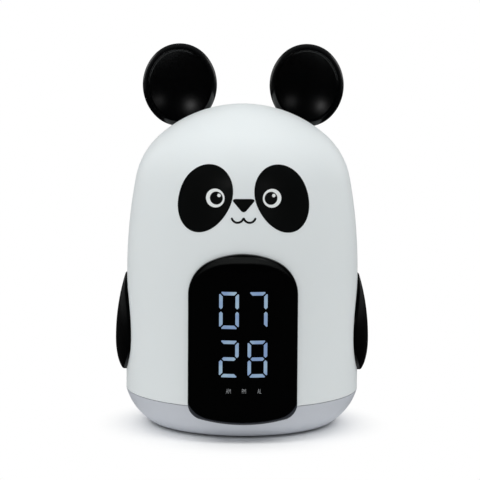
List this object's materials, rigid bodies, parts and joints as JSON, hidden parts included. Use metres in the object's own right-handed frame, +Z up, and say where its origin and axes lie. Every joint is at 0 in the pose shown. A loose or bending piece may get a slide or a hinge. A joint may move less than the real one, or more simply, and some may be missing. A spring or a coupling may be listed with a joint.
{
  "type": "alarm clock",
  "caption": "Domed alarm clock with a night light: ears, side arms, an arched display lens, a recessed rear control panel and a battery bay under the base.",
  "frame": {"origin": "on the table, under the axis of the round body", "axes": "+Z up, the display faces -Y, the control panel faces +Y"},
  "size_m": [0.1146, 0.1089, 0.1705],
  "materials": {
    "dome_white": "satin, slightly translucent",
    "base_grey": "satin",
    "gloss_black": "polished",
    "segment_lit": "lit",
    "segment_dark": "smoked",
    "indicator_dark": "smoked",
    "control_grey": "satin",
    "button_black": "fine grain",
    "block_white": "plain",
    "board_green": "solder mask",
    "lamp_cream": "lamp face",
    "switch_black": "plain",
    "screw_steel": "zinc plated",
    "contact_steel": "nickel plated",
    "socket_steel": "stamped",
    "cell_jacket": "printed film",
    "foot_rubber": "moulded"
  },
  "bodies": {
    "root": {"alarm_switch_body": "switch_black", "arm_left": "gloss_black", "arm_right": "gloss_black", "arm_screws": "screw_steel", "base_shell": "base_grey", "battery_cells": "cell_jacket", "battery_contacts": "contact_steel", "battery_door": "base_grey", "battery_door_screw": "screw_steel", "digit_segments_lit": "segment_lit", "digit_segments_unlit": "segment_dark", "display_board": "board_green", "display_board_screws": "screw_steel", "display_leds": "lamp_cream", "display_lens": "gloss_black", "dome_shell": "dome_white", "ear_left": "gloss_black", "ear_right": "gloss_black", "ear_screws": "screw_steel", "housing_screws": "screw_steel", "indicator_windows": "indicator_dark", "light_block": "block_white", "light_tower": "block_white", "light_tower_screws": "screw_steel", "main_board": "board_green", "main_board_screws": "screw_steel", "night_light_board": "board_green", "night_light_lamps": "lamp_cream", "power_socket": "socket_steel", "rear_panel": "control_grey", "rubber_feet": "foot_rubber", "speaker": "switch_black", "tact_switches": "switch_black"},
    "time_button": {"time_button": "button_black"},
    "alarm_button": {"alarm_button": "button_black"},
    "light_button": {"light_button": "button_black"},
    "down_button": {"down_button": "button_black"},
    "up_button": {"up_button": "button_black"},
    "alarm_switch_knob": {"alarm_switch_knob": "button_black"}
  },
  "joints": [
    {"name": "time_button_press", "type": "slide", "parent": "root", "child": "time_button", "axis": [0, -1, 0], "range_m": [0, 0.0006], "stiffness_N_per_m": 1500},
    {"name": "alarm_button_press", "type": "slide", "parent": "root", "child": "alarm_button", "axis": [0, -1, 0], "range_m": [0, 0.0006], "stiffness_N_per_m": 1500},
    {"name": "light_button_press", "type": "slide", "parent": "root", "child": "light_button", "axis": [0, -1, 0], "range_m": [0, 0.0006], "stiffness_N_per_m": 1500},
    {"name": "down_button_press", "type": "slide", "parent": "root", "child": "down_button", "axis": [0, -1, 0], "range_m": [0, 0.0006], "stiffness_N_per_m": 1500},
    {"name": "up_button_press", "type": "slide", "parent": "root", "child": "up_button", "axis": [0, -1, 0], "range_m": [0, 0.0006], "stiffness_N_per_m": 1500},
    {"name": "alarm_switch_slide", "type": "slide", "parent": "root", "child": "alarm_switch_knob", "axis": [1, 0, 0], "range_m": [0, 0.003]}
  ]
}
